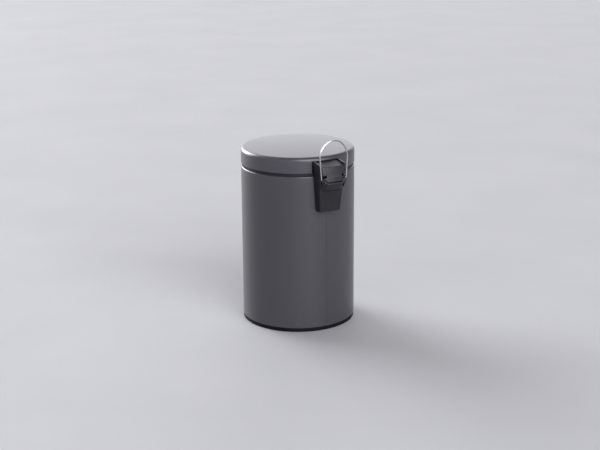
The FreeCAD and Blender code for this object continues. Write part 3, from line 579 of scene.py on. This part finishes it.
# ---- base ring, and the rubber ring in its groove ---------------------------------------
FOOT_R = 124.4 * MM
FOOT_ROOM_R = 118.8 * MM           # inside the foot's outer wall
FOOT_RIB_R = 104.0 * MM            # rib that stands round the hole
FOOT_HOLE_R = 101.6 * MM
FOOT_FLOOR = 5.2 * MM
FOOT_LEDGE = 9.0 * MM              # top of the rib, and of the foot's upright outer wall
SPIGOT_WALL = 2.2 * MM             # the spigot stands up inside the shell
SPIGOT_LOW = 13.0 * MM

BASE_SLOT_HALF = 18.0 * MM         # for the pedal lever
BASE_SLOT_Y = (-140.0 * MM, -100.0 * MM)
BASE_SLOT_LOW = 13.0 * MM
BASE_SLOT_CORNER = 3.0 * MM

GROOVE_R = (113.0 * MM, 119.0 * MM)
GROOVE_TOP = 2.6 * MM
RUBBER_PLAY = 0.05 * MM


def make_base():
    inner = SHELL_R - SHEET
    spigot = inner - SPIGOT_WALL
    step_z = SHELL_LOW.z
    low = BASE_LOW.z
    top = BASE_HIGH.z
    base = lathe("base_skin", rounded([
        (FOOT_R, low, 0.8 * MM),
        (FOOT_R, step_z, 0.15 * MM),
        (inner, step_z, 0.0),
        (inner, top, 0.5 * MM),
        (spigot, top, 0.5 * MM),
        (spigot, SPIGOT_LOW, 1.0 * MM),
        (FOOT_ROOM_R, FOOT_LEDGE, 1.0 * MM),
        (FOOT_ROOM_R, FOOT_FLOOR, 1.0 * MM),
        (FOOT_RIB_R, FOOT_FLOOR, 1.0 * MM),
        (FOOT_RIB_R, FOOT_LEDGE, 0.5 * MM),
        (FOOT_HOLE_R, FOOT_LEDGE, 0.5 * MM),
        (FOOT_HOLE_R, low, 0.6 * MM),
    ], 4))
    slot = rounded_box(
        "base_slot_cutter",
        (-BASE_SLOT_HALF, BASE_SLOT_Y[0], BASE_SLOT_LOW),
        (BASE_SLOT_HALF, BASE_SLOT_Y[1], top + PAST),
        BASE_SLOT_CORNER,
    )
    near, far = GROOVE_R
    under = -5 * MM
    groove = lathe("groove_cutter", [
        Vector((near, under)), Vector((far, under)),
        Vector((far, GROOVE_TOP)), Vector((near, GROOVE_TOP)),
    ])
    carve(base, [slot, groove])
    smooth_by_angle(base.data, 35)
    return finish_piece(base, "bin", BASE_PLASTIC, ["base_ring"])


def make_rubber_ring():
    near = GROOVE_R[0] + RUBBER_PLAY
    far = GROOVE_R[1] - RUBBER_PLAY
    top = RUBBER_HIGH.z
    ring = lathe("rubber_ring_skin", rounded([
        (near, 0.0, 0.8 * MM), (far, 0.0, 0.8 * MM), (far, top, 0.3 * MM), (near, top, 0.3 * MM),
    ], 4))
    smooth_by_angle(ring.data, 40)
    return finish_piece(ring, "bin", RUBBER, ["nonslip_ring"])


# ---- rim collar -------------------------------------------------------------------------
COLLAR_HOLE_R = 109.0 * MM         # inside of the lip that hangs into the bin
COLLAR_LIP_R = 110.8 * MM          # outside of it
COLLAR_LIP_LOW = 338.0 * MM
COLLAR_FLAT = 2.4 * MM             # thickness of the flat between lip and wall
COLLAR_WALL_R = 119.8 * MM
COLLAR_WALL_LOW = 342.0 * MM

ROD_NOTCH_HALF = 12.0 * MM         # lets the lift rod and the lid's ear through at the back
ROD_NOTCH_Y = 95.0 * MM
ROD_NOTCH_Z = (330.0 * MM, 365.0 * MM)
ROD_NOTCH_CORNER = 2.0 * MM


def make_collar():
    top = COLLAR_HIGH.z
    seat = SHELL_HIGH.z
    outer = COLLAR_HIGH.x
    rim = SHELL_R - SHELL_ROLL
    under = top - COLLAR_FLAT
    collar = lathe("collar_skin", rounded([
        (outer, seat, 0.3 * MM),
        (outer, top, 1.0 * MM),
        (COLLAR_HOLE_R, top, 1.2 * MM),
        (COLLAR_HOLE_R, COLLAR_LIP_LOW, 0.6 * MM),
        (COLLAR_LIP_R, COLLAR_LIP_LOW, 0.6 * MM),
        (COLLAR_LIP_R, under, 0.6 * MM),
        (COLLAR_WALL_R, under, 0.6 * MM),
        (COLLAR_WALL_R, COLLAR_WALL_LOW, 0.5 * MM),
        (rim, COLLAR_WALL_LOW, 0.5 * MM),
        (rim, seat, 0.0),
    ], 4))
    notch = rounded_box(
        "collar_cutter",
        (-ROD_NOTCH_HALF, ROD_NOTCH_Y, ROD_NOTCH_Z[0]),
        (ROD_NOTCH_HALF, rim, ROD_NOTCH_Z[1]),
        ROD_NOTCH_CORNER,
    )
    carve(collar, [notch])
    smooth_by_angle(collar.data, 35)
    return finish_piece(collar, "bin", BLACK_PLASTIC, ["rim_collar"])


# ---- wire bail ------------------------------------------------------------------------
BAIL_LEAN = math.radians(0.8)      # towards the lid, about its pivot
BAIL_R = 1.5 * MM                  # radius of the wire
BAIL_TIP = 24.8 * MM               # half the gap between the two feet
BAIL_BEND = 2.3 * MM               # radius of the bend from foot to leg
BAIL_TOP = 82.6 * MM               # height of the crown over the pivot
BAIL_HALF = 33.0 * MM              # the crown is half an ellipse, this wide to each side
BAIL_RISE = 37.0 * MM              # and this high
BAIL_START = math.radians(-5.0)    # it starts a little below its middle, where the legs join
BAIL_ARCS = 6                      # curve pieces that the crown is made of
BEND_HANDLE = 0.55                 # curve handles in the bend, as a share of its reach


def make_bail():
    """The carry bail, drawn flat and then leaned about its pivot like the CAD one."""
    pivot = Vector(JOINTS["bail_swing"]["pos_m"])
    centre = BAIL_TOP - BAIL_RISE
    # run points along a leg, away from its foot, and foot is where it meets the pivot's line
    run = Vector((-BAIL_HALF * math.sin(BAIL_START), 0, BAIL_RISE * math.cos(BAIL_START)))
    run.normalize()
    leg_top = Vector((
        BAIL_HALF * math.cos(BAIL_START), centre + BAIL_RISE * math.sin(BAIL_START)
    ))
    foot = leg_top.x - leg_top.y * run.x / run.z
    reach = BAIL_BEND / math.tan((math.pi - math.acos(run.x)) / 2)
    soft = reach * BEND_HANDLE
    sweep = math.pi - 2 * BAIL_START
    arc = 4 / 3 * math.tan(sweep / BAIL_ARCS / 4)

    def leaned(x, h):
        return pivot + Vector((x, -math.sin(BAIL_LEAN) * h, math.cos(BAIL_LEAN) * h))

    right = [
        ((BAIL_TIP, 0), (BAIL_TIP, 0), (BAIL_TIP + 1 * MM, 0)),
        ((foot - reach, 0), (foot - reach - 0.5 * MM, 0), (foot - reach + soft, 0)),
        (
            (foot + run.x * reach, run.z * reach),
            (foot + run.x * (reach - soft), run.z * (reach - soft)),
            (foot + run.x * 3 * reach, run.z * 3 * reach),
        ),
    ]
    knots = list(right)
    for step in range(BAIL_ARCS + 1):
        turn = BAIL_START + sweep * step / BAIL_ARCS
        at = Vector((BAIL_HALF * math.cos(turn), centre + BAIL_RISE * math.sin(turn)))
        along = Vector((-BAIL_HALF * math.sin(turn), BAIL_RISE * math.cos(turn))) * arc
        knots.append((tuple(at), tuple(at - along), tuple(at + along)))
    for place, before, after in reversed(right):
        knots.append(((-place[0], place[1]), (-after[0], after[1]), (-before[0], before[1])))
    points = [tuple(leaned(*spot) for spot in knot) for knot in knots]
    bail = wire_piece("bail_wire", points, BAIL_R)
    return finish_piece(bail, "carry_bail", BAIL_CHROME, ["carry_bail"])


# ---- pieces refined from the CAD solids -------------------------------------------------
# node: edge radius in mm, steps round an edge, body, slot, finish
REFINED = {
    "hinge_housing": (0.9, 3, "bin", "hinge_plastic", HINGE_PLASTIC),
    "hinge_block": (0.8, 3, "lid", "hinge_plastic", HINGE_PLASTIC),
    "pedal_lever": (0.6, 3, "pedal", "zinc_steel", ZINC),
    "pedal_tread": (0.5, 2, "pedal", "tread_plastic", TREAD_PLASTIC),
    "pivot_bracket": (0.3, 2, "bin", "zinc_steel", ZINC),
    "lid_liner": (0.4, 2, "lid", "black_plastic", BLACK_PLASTIC),
}

# the crease that undercuts the chin of the housing
CREASE_HALF = 20.6 * MM
CREASE_Y = (147.0 * MM, 156.0 * MM)
CREASE_Z = (321.6 * MM, 323.4 * MM)


def make_refined():
    for node, (width, segments, body, slot, material) in REFINED.items():
        cutters = []
        if node == "hinge_housing":
            low = (-CREASE_HALF, CREASE_Y[0], CREASE_Z[0])
            high = (CREASE_HALF, CREASE_Y[1], CREASE_Z[1])
            cutters.append(rounded_box("crease_cutter", low, high))
        piece = refined(node, width * MM, segments, cutters)
        finish_piece(piece, body, material, [node])


# ---- camera ---------------------------------------------------------------------------
VIEW_AZIMUTH = 151.2       # degrees; 0 is at the front (-Y), 90 on the +X side
VIEW_PITCH = 16.29         # degrees up
VIEW_ROLL = -0.437         # degrees
VIEW_DISTANCE = 2.91
VIEW_TARGET = Vector((0, 0, 0.2084))
VIEW_LENS = 78.0           # mm, for a sensor 36 mm wide
VIEW_SHIFT = 0.00325


def direction(around, up):
    """Unit vector towards a place, in degrees round from the camera and up."""
    turn = math.radians(VIEW_AZIMUTH) + math.radians(around)
    tall = math.radians(up)
    level = Vector((math.sin(turn), -math.cos(turn), 0))
    return level * math.cos(tall) + Vector((0, 0, math.sin(tall)))


def make_camera():
    data = bpy.data.cameras.new("camera")
    data.lens = VIEW_LENS
    data.sensor_width = 36.0
    data.shift_x = VIEW_SHIFT
    camera = link("camera", data)
    away = direction(0, VIEW_PITCH)
    place = Matrix.Translation(VIEW_TARGET + away * VIEW_DISTANCE)
    look = (-away).to_track_quat("-Z", "Y").to_matrix().to_4x4()
    camera.matrix_world = place @ look @ Matrix.Rotation(math.radians(VIEW_ROLL), 4, "Z")
    bpy.context.scene.camera = camera


# ---- stage and light --------------------------------------------------------------------
FLOOR_HALF = 30.0

# the studio's own light, bluish white: its strength level with the floor and overhead
SKY_COLOUR = srgb(232, 232, 237)
HORIZON = 0.54
OVERHEAD = 0.26
OVERHEAD_FROM = 0.7        # height on the unit sphere of directions where overhead begins
# and its broad soft glows: degrees round from the camera (anticlockwise seen from above),
# degrees up, degrees out from the middle where each starts to fade and where it ends,
# strength
GLOWS = {
    "back": (186, 17, 20, 44, 2.0),
    "left_back": (226, 20, 11, 27, 14.5),
    "right_front": (27, 25, 14, 34, 7.3),
}

# one weak square lamp, placed in the same way
LAMP_AROUND = 310
LAMP_UP = 25
LAMP_DISTANCE = 3.0
LAMP_SIDE = 2.0
LAMP_WATTS = 7.0
LAMP_COLOUR = (0.965, 0.96, 1.0)


def make_floor():
    bm = bmesh.new()
    bmesh.ops.create_grid(bm, x_segments=2, y_segments=2, size=FLOOR_HALF)
    mesh = bpy.data.meshes.new("floor")
    bm.to_mesh(mesh)
    bm.free()
    floor = link("floor", mesh)
    ground = Finish("floor_paint", 0.7, specular=0.25)
    cloud = ground.spread(ground.noise(3.0, detail=3.0), 0.3, 0.7)
    ground.colour(ground.blend(cloud, srgb(167, 167, 169), srgb(171, 171, 173)))
    floor.data.materials.append(ground.material)


def make_sky():
    """The studio's light, which fades upwards and has a soft glow for each of GLOWS."""
    world = bpy.data.worlds.new("studio")
    world.use_nodes = True
    tree = world.node_tree
    place = tree.nodes.new("ShaderNodeTexCoord").outputs["Generated"]
    sky = tree.nodes["Background"]
    sky.inputs["Color"].default_value = SKY_COLOUR
    split = tree.nodes.new("ShaderNodeSeparateXYZ")
    tree.links.new(place, split.inputs["Vector"])
    height = split.outputs["Z"]
    strength = map_range(tree, height, 0.0, OVERHEAD_FROM, HORIZON, OVERHEAD, smooth=True)
    for around, up, core, edge, power in GLOWS.values():
        toward = tree.nodes.new("ShaderNodeVectorMath")
        toward.operation = "DOT_PRODUCT"
        toward.inputs[1].default_value = direction(around, up)
        tree.links.new(place, toward.inputs[0])
        near = toward.outputs["Value"]
        faded = math.cos(math.radians(edge))
        full = math.cos(math.radians(core))
        glow = map_range(tree, near, faded, full, 0.0, power, smooth=True)
        total = tree.nodes.new("ShaderNodeMath")
        total.operation = "ADD"
        tree.links.new(strength, total.inputs[0])
        tree.links.new(glow, total.inputs[1])
        strength = total.outputs["Value"]
    tree.links.new(strength, sky.inputs["Strength"])
    bpy.context.scene.world = world


def make_lamp():
    data = bpy.data.lights.new("left_front", "AREA")
    data.color = LAMP_COLOUR
    data.shape = "SQUARE"
    data.size = LAMP_SIDE
    data.energy = LAMP_WATTS
    lamp = link("left_front", data)
    away = direction(LAMP_AROUND, LAMP_UP)
    lamp.location = VIEW_TARGET + away * LAMP_DISTANCE
    lamp.rotation_euler = away.to_track_quat("Z", "Y").to_euler()
    lamp.visible_camera = False


bpy.context.scene.view_settings.view_transform = "Standard"
dress_cad_nodes()
make_camera()
make_shell()
make_lid()
make_base()
make_rubber_ring()
make_collar()
make_bail()
make_refined()
make_floor()
make_sky()
make_lamp()
